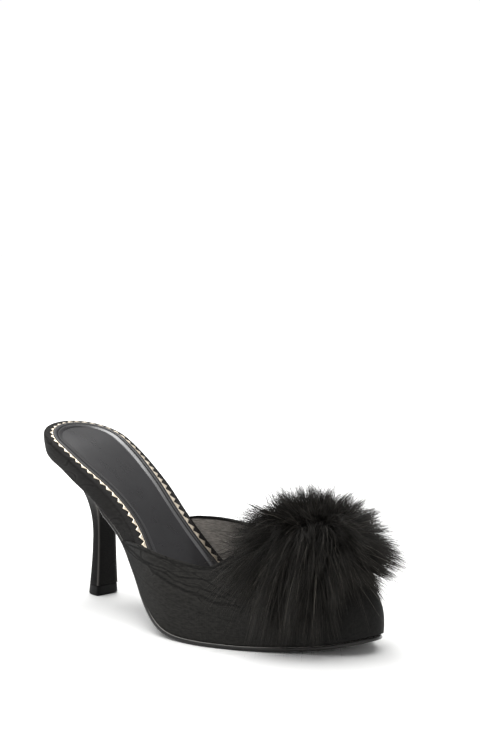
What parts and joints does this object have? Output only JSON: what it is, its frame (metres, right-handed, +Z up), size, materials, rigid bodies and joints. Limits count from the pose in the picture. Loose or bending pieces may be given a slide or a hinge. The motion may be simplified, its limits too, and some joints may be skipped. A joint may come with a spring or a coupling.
{
  "type": "high-heeled mule",
  "caption": "Right high-heeled mule with an almond toe, slim flared heel, watered-fabric vamp and footbed, pinked metallic sock edge and a deep fur pompom.",
  "frame": {"origin": "centre of the top lift's bottom face, on the floor", "axes": "+X forward from the heel to the toe, +Y to the inner side of the foot, +Z up"},
  "size_m": [0.2292, 0.0823, 0.0913],
  "materials": {
    "watered_fabric": "ribbed black fabric with a watered figure, low sheen",
    "sock_leather": "smooth charcoal lining leather, semi-matt",
    "edge_foil": "pale gold foiled leather, pinked",
    "sole_leather": "black leather sole with a burnished edge",
    "lift_rubber": "hard black top-lift compound",
    "fur": "long dense black-brown fur"
  },
  "bodies": {
    "root": {"outsole": "sole_leather", "footbed": "watered_fabric", "sock": "sock_leather", "sock_edge": "edge_foil", "heel": "watered_fabric", "top_lift": "lift_rubber", "upper": "watered_fabric", "pompom": "fur"}
  },
  "joints": []
}
